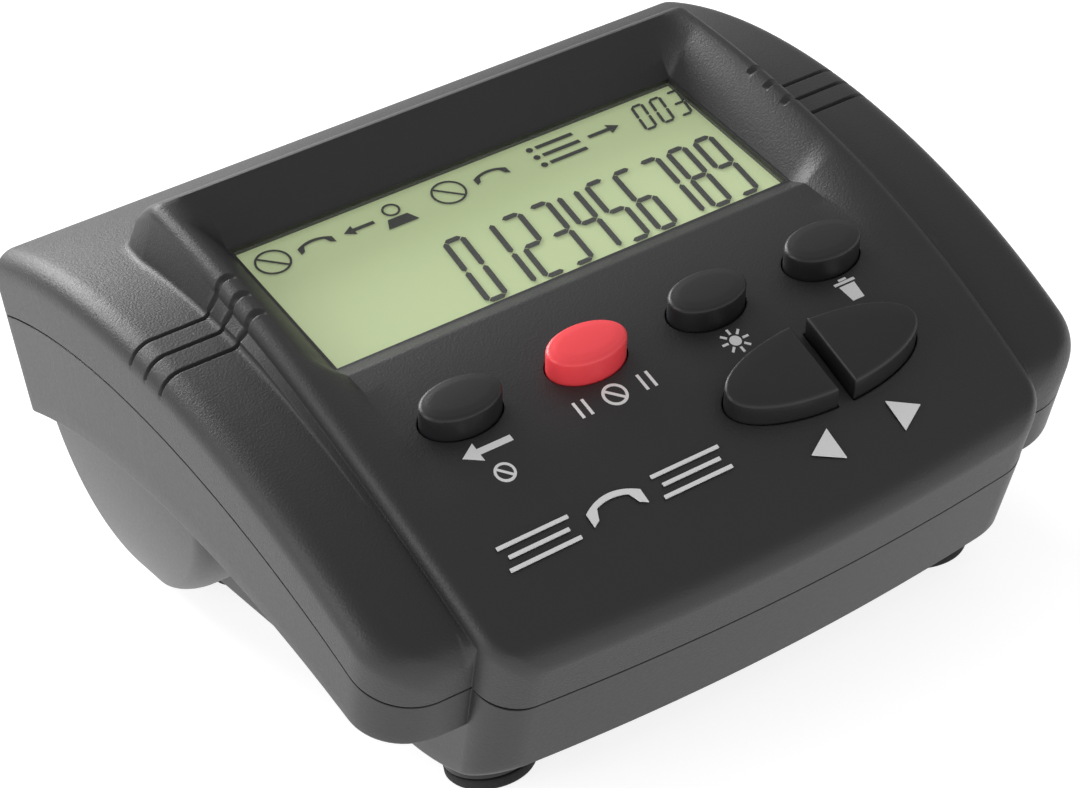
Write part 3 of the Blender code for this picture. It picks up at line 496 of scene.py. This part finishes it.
def add_stack(builder, levels):
    """A closed solid through (outline, height) levels. Outlines run anticlockwise, seen from above."""
    rings = [[builder.verts.new((*p[:2], level + sum(p[2:]))) for p in outline] for outline, level in levels]
    builder.faces.new(rings[0][::-1])
    builder.faces.new(rings[-1])
    for ring, above in zip(rings, rings[1:]):
        for i in range(len(ring)):
            j = (i + 1) % len(ring)
            builder.faces.new((ring[i], ring[j], above[j], above[i]))


def rectangle(centre, half_x, half_y):
    x, y = centre
    low = [(x - half_x, y - half_y), (x + half_x, y - half_y)]
    return low + [(x + half_x, y + half_y), (x - half_x, y + half_y)]


def ellipse(centre, half_x, half_y, steps=96):
    turns = [2.0 * math.pi * i / steps for i in range(steps)]
    return [(centre[0] + half_x * math.cos(a), centre[1] + half_y * math.sin(a)) for a in turns]


def half_ellipse(side, inset, steps=56):
    """One half of the split pad. side is -1 or +1, and a positive inset makes it smaller all round."""
    flat = SPLIT_GAP / 2.0 + inset
    half_x = SPLIT_HALF_X - inset
    half_u = SPLIT_HALF_U - inset
    start = math.acos(flat / half_x)
    points = []
    for a in spaced(-start, start, steps):
        x = SPLIT_CENTRE[0] + side * half_x * math.cos(a)
        points.append((x, SPLIT_CENTRE[1] + half_u * math.sin(a)))
    return points if side > 0 else points[::-1]


# %% [markdown]
# ## Top shell
#
# The display window and the six key openings are cut through it.

# %% Top shell
KEY_XS = [KEY_PITCH * (i - 1.5) for i in range(4)]
KEY_CLEARANCE = 0.00022

top_shell = add_piece("top_shell", shell_mesh(upper_section), CHARCOAL, on_deck=True)
cutter = bmesh.new()
window = rectangle((0, 0), WINDOW_HALF_X, WINDOW_HALF_U)
add_stack(cutter, ((window, -0.0060), (window, 0.0030)))
for x in KEY_XS:
    hole = ellipse((x, KEY_ROW_U), KEY_HALF_X + KEY_CLEARANCE, KEY_HALF_U + KEY_CLEARANCE)
    add_stack(cutter, ((hole, -0.0060), (hole, 0.0080)))
for side in (-1, 1):
    hole = half_ellipse(side, -KEY_CLEARANCE)
    add_stack(cutter, ((hole, -0.0080), (hole, 0.0080)))
cut(top_shell, "DIFFERENCE", add_piece("top_cutter", cutter, None, on_deck=True))
top_shell.data.shade_smooth()
top_shell.data.set_sharp_from_angle(angle=math.radians(32.0))
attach(top_shell, "housing")
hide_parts("upper_shell")
print("top shell:", len(top_shell.data.polygons), "faces")

# %% [markdown]
# ## Bottom shell
#
# A tub with a band around it, and a leg under the back of each wing. A leg is a stack of rounded outlines
# that shrink on the way down, so its front and outer faces sweep in as one curve.

# %% Bottom shell and legs
LEG_TOP = 0.0365
LEG_BOTTOM = 0.0004
LEG_FRONT = -0.0030
LEG_FRONT_RUN = 0.0529
LEG_FRONT_CURVE = 1.9
LEG_BACK = 0.0512
LEG_BACK_RUN = 0.0013
LEG_INNER = 0.0402
LEG_OUTER = 0.0555
LEG_OUTER_RUN = 0.0136
LEG_CORNER = 0.0040
LEG_SHARE = 0.95


def rounded_rectangle(low, high, radius, steps=8):
    points = []
    corners = ((high[0], high[1], 0), (low[0], high[1], 1), (low[0], low[1], 2), (high[0], low[1], 3))
    for x, y, turn in corners:
        centre_x = x - radius if turn in (0, 3) else x + radius
        centre_y = y - radius if turn in (0, 1) else y + radius
        for step in range(steps + 1):
            angle = math.radians(90.0) * (turn + step / steps)
            points.append((centre_x + radius * math.cos(angle), centre_y + radius * math.sin(angle)))
    return points


def leg_outline(share, side):
    front = LEG_FRONT + LEG_FRONT_RUN * share**LEG_FRONT_CURVE
    back = LEG_BACK - LEG_BACK_RUN * share * share
    outer = LEG_OUTER - LEG_OUTER_RUN * (1.0 - math.sqrt(1.0 - share * share))
    radius = min(LEG_CORNER, 0.45 * (outer - LEG_INNER), 0.45 * (back - front))
    outline = rounded_rectangle((LEG_INNER, front), (outer, back), radius)
    return [(side * x, y) for x, y in outline][::side]


bottom_shell = add_piece("bottom_shell", shell_mesh(lower_section), SATIN, on_deck=True)
joined = []
for side, word in ((-1, "left"), (1, "right")):
    builder = bmesh.new()
    levels = []
    for a in quarter(28)[::-1]:
        share = LEG_SHARE * math.sin(a)
        height = LEG_TOP + (LEG_BOTTOM - LEG_TOP) * share / LEG_SHARE
        levels.append((leg_outline(share, side), height))
    add_stack(builder, levels)
    joined.append(add_piece("leg", builder, SATIN))
    low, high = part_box("foot_front_" + word)
    centre = ((low[0] + high[0]) / 2.0, (low[1] + high[1]) / 2.0)
    stub = ellipse(centre, (high[0] - low[0]) / 2.0, (high[0] - low[0]) / 2.0)
    builder = bmesh.new()
    add_stack(builder, ((stub, high[2] + 0.0003), (stub, high[2] + 0.0040)))
    joined.append(add_piece("stub", builder, SATIN))
cut(bottom_shell, "UNION", *joined)

MOUTH_HALF = (0.0053, 0.0050, 0.0039)  # across, deep and high
sockets = bmesh.new()
for jack in ("line_jack", "phone_jack"):
    low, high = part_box(jack)
    centre = ((low[0] + high[0]) / 2.0, cad_box[1][1])
    middle = (low[2] + high[2]) / 2.0
    mouth = rectangle(centre, *MOUTH_HALF[:2])
    add_stack(sockets, ((mouth, middle - MOUTH_HALF[2]), (mouth, middle + MOUTH_HALF[2])))
cut(bottom_shell, "DIFFERENCE", add_piece("socket_cutter", sockets, None))
bottom_shell.data.shade_smooth()
bottom_shell.data.set_sharp_from_angle(angle=math.radians(32.0))
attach(bottom_shell, "housing")
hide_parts("lower_shell")
print("bottom shell:", len(bottom_shell.data.polygons), "faces")

# %% [markdown]
# ## Keys
#
# Each key is a cap with upright sides, a small rounding at its edge and a faintly crowned top. Below the
# deck it widens into the rim that keeps it in. The two halves of the round pad slope with the deck.

# %% Keys
STEM_BOTTOM = -0.0074
RIM = 0.0011
RIM_THICK = 0.0010
EDGE_ROUND = 0.0006


def key_levels(outline_at, rim_top, top, slope, stem_inset):
    def sloped(outline):
        return [(x, u, slope * (u - SPLIT_CENTRE[1])) for x, u in outline]

    levels = [(outline_at(stem_inset), STEM_BOTTOM), (outline_at(stem_inset), rim_top - RIM_THICK)]
    levels += [(outline_at(-RIM), rim_top - RIM_THICK), (outline_at(-RIM), rim_top)]
    levels += [(outline_at(0.0), rim_top), (sloped(outline_at(0.0)), top - 0.0016)]
    for a in quarter(6):
        inset = EDGE_ROUND * (1.0 - math.cos(a))
        levels.append((sloped(outline_at(inset)), top - EDGE_ROUND * (1.0 - math.sin(a)) - 0.0002))
    for share in (0.25, 0.45, 0.65):
        inset = EDGE_ROUND + (stem_inset - EDGE_ROUND) * share
        levels.append((sloped(outline_at(inset)), top - 0.0002 * (1.0 - share) ** 2))
    return levels


for number, x in enumerate(KEY_XS, 1):
    def oval(inset, x=x):
        return ellipse((x, KEY_ROW_U), KEY_HALF_X - inset, KEY_HALF_U - inset)
    builder = bmesh.new()
    add_stack(builder, key_levels(oval, -0.0040, KEY_TOP, 0.0, 0.0022))
    name = f"key_{number}"
    finish, slot = (KEY_RED, "red_key") if number == 2 else (KEY_BLACK, "black_key")
    add_piece(name + "_cap", builder, finish, name, [name], True)
for name, side in (("key_left", -1), ("key_right", 1)):
    def half(inset, side=side):
        return half_ellipse(side, inset)
    builder = bmesh.new()
    add_stack(builder, key_levels(half, -0.0056, SPLIT_TOP, SPLIT_SLOPE, 0.0034))
    add_piece(name + "_cap", builder, KEY_BLACK, name, [name], True)
print("keys done")

# %% [markdown]
# ## Display
#
# A pale green reflector with a painted glow, dark segments just above it and a clear lens over both.
# Only numerals are shown: a ten-digit number, a three-digit count, and plain symbols in the row above.

# %% Display plate and lens
REFLECTOR_TOP = -0.0013
SEGMENT_LOW = -0.00112
SEGMENT_HIGH = -0.00106
LENS_LOW = -0.0009
LENS_HIGH = -0.0005

REFLECTOR, nodes, links, shader = principled("display reflector with painted glow", (0.50, 0.61, 0.33), 0.60)
place = nodes.new("ShaderNodeTexCoord")
mottle = nodes.new("ShaderNodeTexNoise")
mottle.inputs["Scale"].default_value = 26.0
mottle.inputs["Detail"].default_value = 1.0
links.new(place.outputs["Object"], mottle.inputs["Vector"])
mix = nodes.new("ShaderNodeMix")
mix.data_type = "RGBA"
mix.inputs["A"].default_value = (0.46, 0.56, 0.285, 1.0)
mix.inputs["B"].default_value = (0.56, 0.65, 0.37, 1.0)
links.new(mottle.outputs["Fac"], mix.inputs["Factor"])
links.new(mix.outputs["Result"], shader.inputs["Base Color"])
# Painted light: the reflector glows in its own mottled colour, standing in for the light that falls on it. It
# is no lamp.
shader.inputs["Emission Strength"].default_value = 0.28
links.new(mix.outputs["Result"], shader.inputs["Emission Color"])

LENS, _, _, shader = principled("display lens", (0.92, 0.95, 0.90), 0.05, Alpha=0.04)

builder = bmesh.new()
lens_outline = rectangle((0, 0), 0.0380, 0.0168)
add_stack(builder, ((lens_outline, -0.0052), (lens_outline, REFLECTOR_TOP)))
add_piece("display_reflector", builder, REFLECTOR, "housing", ["lcd_glass"], True)

builder = bmesh.new()
plug = rectangle((0, 0), WINDOW_HALF_X - 0.0002, WINDOW_HALF_U - 0.0002)
add_stack(builder, ((plug, LENS_LOW), (plug, LENS_HIGH)))
add_piece("display_window", builder, LENS, "housing", ["display_lens"], True)

# %% [markdown]
# Each numeral is made of seven six-sided bars, lit or left out. The bars lean a little, as on most
# displays of this kind.

# %% Numerals
LIT = ("abcdef", "bc", "abdeg", "abcdg", "bcfg", "acdfg", "acdefg", "abc", "abcdefg", "abcdfg")


def bar(start, end, half):
    """A six-sided bar between two points that are level or upright from each other."""
    (x0, u0), (x1, u1) = start, end
    level = abs(u1 - u0) < abs(x1 - x0)
    (ax, au), (cx, cu) = ((half, 0.0), (0.0, -half)) if level else ((0.0, half), (half, 0.0))
    first = [(x0, u0), (x0 + ax + cx, u0 + au + cu), (x1 - ax + cx, u1 - au + cu)]
    return first + [(x1, u1), (x1 - ax - cx, u1 - au - cu), (x0 + ax - cx, u0 + au - cu)]


def add_digit(builder, digit, corner, width, height, half, lean):
    """A numeral whose lower left corner is at (x, u)."""
    x, u = corner
    left, right = x + half, x + width - half
    low, middle, high = u + half, u + height / 2.0, u + height - half
    gap = half * 0.22
    bars = {
        "a": ((left + gap, high), (right - gap, high)), "g": ((left + gap, middle), (right - gap, middle)),
        "d": ((left + gap, low), (right - gap, low)), "f": ((left, middle + gap), (left, high - gap)),
        "b": ((right, middle + gap), (right, high - gap)), "e": ((left, low + gap), (left, middle - gap)),
        "c": ((right, low + gap), (right, middle - gap)),
    }
    for letter in LIT[digit]:
        outline = [(px + lean * (pu - u), pu) for px, pu in bar(*bars[letter], half)]
        add_stack(builder, ((outline, SEGMENT_LOW), (outline, SEGMENT_HIGH)))


builder = bmesh.new()
for i, digit in enumerate((0, 1, 2, 3, 4, 5, 6, 7, 8, 9)):
    add_digit(builder, digit, (-0.0120 + 0.00449 * i, -0.0125), 0.0035, 0.0139, 0.00042, 0.10)
for i, digit in enumerate((0, 0, 3)):
    add_digit(builder, digit, (0.0262 + 0.0030 * i, 0.0066), 0.0021, 0.0058, 0.00022, 0.20)

# %% [markdown]
# ## Symbols
#
# The real object carries words. Here plain symbols stand in their places, on the display and under the keys:
# a handset, a crossed ring, a sun, a bin, an arrow. They share a few small shape functions.


# %% Symbol shapes
def ring_outlines(centre, outer, inner, steps=40):
    return ellipse(centre, outer, outer, steps), ellipse(centre, inner, inner, steps)


def add_flat(builder, outline, low, high, level):
    """A thin closed tile. level(x, u) is the surface that it lies on."""
    lifted = [(x, u, level(x, u)) for x, u in outline]
    add_stack(builder, ((lifted, low), (lifted, high)))


def add_ring(builder, centre, outer, inner, low, high, level):
    """A thin closed ring."""
    rims = []
    for outline in ring_outlines(centre, outer, inner):
        for n in (low, high):
            rims.append([builder.verts.new((x, u, n + level(x, u))) for x, u in outline])
    outer_low, outer_high, inner_low, inner_high = rims
    for i in range(len(outer_low)):
        j = (i + 1) % len(outer_low)
        builder.faces.new((outer_low[i], outer_low[j], outer_high[j], outer_high[i]))
        builder.faces.new((inner_low[j], inner_low[i], inner_high[i], inner_high[j]))
        builder.faces.new((outer_high[i], outer_high[j], inner_high[j], inner_high[i]))
        builder.faces.new((outer_low[j], outer_low[i], inner_low[i], inner_low[j]))


def slanted_bar(centre, length, thick, degrees):
    """A straight bar as an outline, turned about its middle."""
    cosine, sine = math.cos(math.radians(degrees)), math.sin(math.radians(degrees))
    outline = []
    for along, across in ((-1, -1), (1, -1), (1, 1), (-1, 1)):
        x, u = along * length / 2.0, across * thick / 2.0
        outline.append((centre[0] + x * cosine - u * sine, centre[1] + x * sine + u * cosine))
    return outline


def handset(centre, size, steps=24):
    """A telephone handset lying on its back: a bowed grip with a thick pad at each end."""
    low, high = [], []
    for t in spaced(-1.0, 1.0, steps):
        bow = size * 0.16 * (1.0 - t * t)
        thick = size * (0.09 + 0.15 * min(1.0, max(0.0, (abs(t) - 0.62) / 0.10)))
        high.append((centre[0] + size * 0.5 * t, centre[1] + bow + size * 0.09))
        low.append((centre[0] + size * 0.5 * t, centre[1] + bow + size * 0.09 - thick))
    return low + high[::-1]


def arrow(centre, size, side):
    """A plain arrow that points left (-1) or right (+1)."""
    head, spread, shaft = -0.35, 0.42, 0.13
    plan = [(-1.0, 0.0), (head, -spread), (head, -shaft), (1.0, -shaft)]
    plan += [(1.0, shaft), (head, shaft), (head, spread)]
    outline = [(centre[0] - side * size / 2.0 * x, centre[1] + size / 2.0 * u) for x, u in plan]
    return outline if side < 0 else outline[::-1]


def crossed_ring(builder, centre, radius, thick, low, high, level):
    add_ring(builder, centre, radius, radius - thick, low, high, level)
    across = 2.0 * (radius - thick) + thick * 0.4
    add_flat(builder, slanted_bar(centre, across, thick, -45.0), low, high, level)


def flat_plate(x, u):
    return 0.0


# %% Display symbols
def tile(outline):
    add_flat(builder, outline, SEGMENT_LOW, SEGMENT_HIGH, flat_plate)


def taper(x, low, high, half_low, half_high):
    """An outline with a level foot and top, each with its own half width."""
    return [(x - half_low, low), (x + half_low, low), (x + half_high, high), (x - half_high, high)]


ROW_U = 0.0098
THIN = 0.00032
RING = 0.0025
HANDSET = 0.0052
HEAD = 0.0013
PERSON_X = -0.0125
LIST_GAP = 0.0019
for x in (-0.0310, -0.0040):
    crossed_ring(builder, (x, ROW_U), RING, THIN, SEGMENT_LOW, SEGMENT_HIGH, flat_plate)
for x in (-0.0245, 0.0028):
    tile(handset((x, ROW_U), HANDSET))
tile(arrow((-0.0180, ROW_U), 0.0046, -1))
head = (PERSON_X, ROW_U + 0.0010)
add_ring(builder, head, HEAD, HEAD - THIN, SEGMENT_LOW, SEGMENT_HIGH, flat_plate)
tile(taper(PERSON_X, ROW_U - 0.0025, ROW_U - 0.0007, 0.0023, 0.0015))
for step in (-1, 0, 1):
    tile(slanted_bar((0.0142, ROW_U + LIST_GAP * step), 0.0060, 0.00065, 0.0))
    tile(ellipse((0.0102, ROW_U + LIST_GAP * step), 0.0005, 0.0005, 16))
tile(arrow((0.0212, ROW_U), 0.0050, 1))
add_piece("display_segments", builder, SEGMENT, "housing", (), True)


# %% [markdown]
# The prints on the deck are paint, about a twentieth of a millimetre thick, so each follows the bend of
# the deck under it.


# %% Deck prints
def deck_level(x, u):
    """The deck's n at a finished (x, u), found by undoing the lean and bow of the front."""
    at = u
    for _ in range(6):
        n = arch(at, DECK_ARCH)
        at = u - (housed(x, at, n)[1] - at)
    return arch(at, DECK_ARCH)


PAINT_LOW = -0.00012
PAINT_HIGH = 0.00004
builder = bmesh.new()


def paint(outline):
    add_flat(builder, outline, PAINT_LOW, PAINT_HIGH, deck_level)


KEY_PRINT_U = -0.0367
SIGN_U = KEY_PRINT_U - 0.0004
paint(arrow((KEY_XS[0], KEY_PRINT_U), 0.0070, -1))
crossed_ring(builder, (KEY_XS[0], KEY_PRINT_U - 0.0040), 0.0014, 0.00035, PAINT_LOW, PAINT_HIGH, deck_level)
crossed_ring(builder, (KEY_XS[1], SIGN_U), 0.0017, 0.00040, PAINT_LOW, PAINT_HIGH, deck_level)
for side in (-1, 1):
    for x in (KEY_XS[1] + side * 0.0041, KEY_XS[1] + side * 0.0054):
        paint(slanted_bar((x, SIGN_U), 0.0026, 0.00042, 90.0))
sun = (KEY_XS[2], SIGN_U)
RAY = 0.00155
paint(ellipse(sun, 0.0008, 0.0008, 32))
for i in range(8):
    a = math.radians(45.0 * i)
    ray = (sun[0] + RAY * math.cos(a), sun[1] + RAY * math.sin(a))
    paint(slanted_bar(ray, 0.0009, 0.00035, 45.0 * i))
paint(taper(KEY_XS[3], SIGN_U - 0.0017, SIGN_U + 0.0009, 0.0009, 0.0012))
paint(slanted_bar((KEY_XS[3], SIGN_U + 0.0014), 0.0032, 0.00040, 0.0))
paint(slanted_bar((KEY_XS[3], SIGN_U + 0.0019), 0.0012, 0.00035, 0.0))
for side, tip in ((-1, 0.0077), (1, 0.0248)):
    triangle = [(tip, -0.0552), (tip - side * 0.0039, -0.0573), (tip - side * 0.0039, -0.0530)]
    paint(triangle if side < 0 else triangle[::-1])
MARK = (-0.0182, -0.0507)
paint(handset(MARK, 0.0078))
for side in (-1, 1):
    for row, length in ((-1, 0.0100), (0, 0.0085), (1, 0.0100)):
        middle = (MARK[0] + side * 0.0110, MARK[1] + 0.0015 * row)
        paint(slanted_bar(middle, length, 0.00045, 0.0))
add_piece("deck_prints", builder, PRINT, "housing", (), True)
print("prints done")

# %% [markdown]
# ## Feet, sockets and inner parts
#
# The feet are moulded rubber discs with a rounded rim and a hollow underneath. Each telephone socket gets
# its four sprung gold wires. The boards and the parts on them keep their solid shapes and get real finishes.

# %% Feet
# Each pair is a share of the radius and a share of the thickness, from the middle of the hollow outwards.
HOLLOW = ((0.55, 0.35), (0.62, 0.10), (0.66, 0.0))
OUTSIDE = ((0.92, 0.0), (0.97, 0.06), (1.0, 0.22), (1.0, 0.80), (0.98, 0.93), (0.94, 1.0))
for end in ("front", "rear"):
    for word in ("left", "right"):
        low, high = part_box(f"foot_{end}_{word}")
        centre = ((low[0] + high[0]) / 2.0, (low[1] + high[1]) / 2.0)
        radius, thick = (high[0] - low[0]) / 2.0, high[2] - low[2]
        builder = bmesh.new()
        levels = []
        for part, share in HOLLOW + OUTSIDE:
            levels.append((ellipse(centre, radius * part, radius * part, 64), low[2] + thick * share))
        add_stack(builder, levels)
        name = f"foot_{end}_{word}"
        add_piece("rubber_" + name, builder, RUBBER, "housing", [name])

# %% Socket wires
GOLD = grained("socket gold", (0.80, 0.56, 0.20), 0.30, 0.00040, 0.10, metallic=1.0)
for jack in ("line_jack", "phone_jack"):
    low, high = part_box(jack)
    middle_x, top = (low[0] + high[0]) / 2.0, (low[2] + high[2]) / 2.0 + 0.0031
    builder = bmesh.new()
    for i in range(4):
        x = middle_x + 0.00102 * (i - 1.5)
        wire = ellipse((x, 0.0), 0.00022, 0.00022, 10)
        front, back = high[1] - 0.0020, high[1] - 0.0100
        rings = []
        for t in spaced(0.0, 1.0, 6):
            y, z = front + (back - front) * t, top - 0.0026 * t + 0.0006 * math.sin(math.pi * t)
            rings.append([builder.verts.new((px, y, z + pz)) for px, pz in wire])
        builder.faces.new(rings[0][::-1])
        builder.faces.new(rings[-1])
        for ring, following in zip(rings, rings[1:]):
            for k in range(len(ring)):
                m = (k + 1) % len(ring)
                builder.faces.new((ring[k], ring[m], following[m], following[k]))
    bmesh.ops.recalc_face_normals(builder, faces=builder.faces)
    add_piece(jack + "_wires", builder, GOLD, "housing")

# %% Finishes of the inner parts
FINISHES = (
    (WHITE, ("backlight_plate", "lcd_bezel", "ribbon_cable")),
    (GREY_RUBBER, ("keypad_mat", "zebra_strip_")),
    (BOARD, ("key_board", "main_board")),
    (COIL, ("line_transformer",)),
    (CHIP, ("hook_relay", "processor_chip", "caller_id_chip", "line_jack", "phone_jack")),
    (BLUE, ("capacitor_", "surge_varistor")),
    (STEEL, ("crystal_can", "case_screw_", "key_board_screw_", "main_board_screw_")),
)
for name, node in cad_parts.items():
    fitting = []
    for finish, starts in FINISHES:
        fitting += [(len(start), finish) for start in starts if name.startswith(start)]
    if fitting:
        node.data.materials.clear()
        node.data.materials.append(max(fitting, key=lambda pair: pair[0])[1])

# %% [markdown]
# ## Camera, floor and light
#
# The camera stands low and to the front left, as for a product picture. The floor is a pale sweep that
# throws light up on to the side walls, and two soft boxes draw the highlights along the ridges.

# %% Camera
camera = bpy.data.objects.new("camera", bpy.data.cameras.new("camera"))
bpy.context.scene.collection.objects.link(camera)
camera.location = (-0.15250, -0.28705, 0.19463)
camera.rotation_euler = (math.radians(62.629), math.radians(9.341), math.radians(-32.166))
camera.data.lens = 90.0
camera.data.clip_start = 0.01
bpy.context.scene.camera = camera
bpy.context.scene.view_settings.view_transform = "Standard"

# %% Floor and world
floor = bmesh.new()
add_stack(floor, ((rectangle((0, 0), 3.0, 3.0), -0.01), (rectangle((0, 0), 3.0, 3.0), 0.0)))
FLOOR, _, _, shader = principled("floor", (0.40, 0.40, 0.40), 0.80)
shader.inputs["Emission Color"].default_value = (1.0, 1.0, 1.0, 1.0)
shader.inputs["Emission Strength"].default_value = 0.84
add_piece("floor", floor, FLOOR)

world = bpy.context.scene.world or bpy.data.worlds.new("world")
bpy.context.scene.world = world
world.use_nodes = True
world.node_tree.nodes["Background"].inputs["Color"].default_value = (1.0, 1.0, 1.0, 1.0)
world.node_tree.nodes["Background"].inputs["Strength"].default_value = 0.48


# %% Soft boxes
def soft_light(name, place, aim, size, power):
    data = bpy.data.lights.new(name, "AREA")
    data.shape = "RECTANGLE"
    data.size, data.size_y = size
    data.energy = power
    light = bpy.data.objects.new(name, data)
    bpy.context.scene.collection.objects.link(light)
    light.location = place
    light.rotation_euler = (Vector(aim) - Vector(place)).to_track_quat("-Z", "Y").to_euler()
    return light


soft_light("back box", (-0.15, 0.75, 0.55), (0, 0, 0.03), (0.7, 0.3), 9.0)
soft_light("left box", (-0.8, 0.0, 0.35), (0, 0, 0.03), (0.5, 0.5), 2.2)
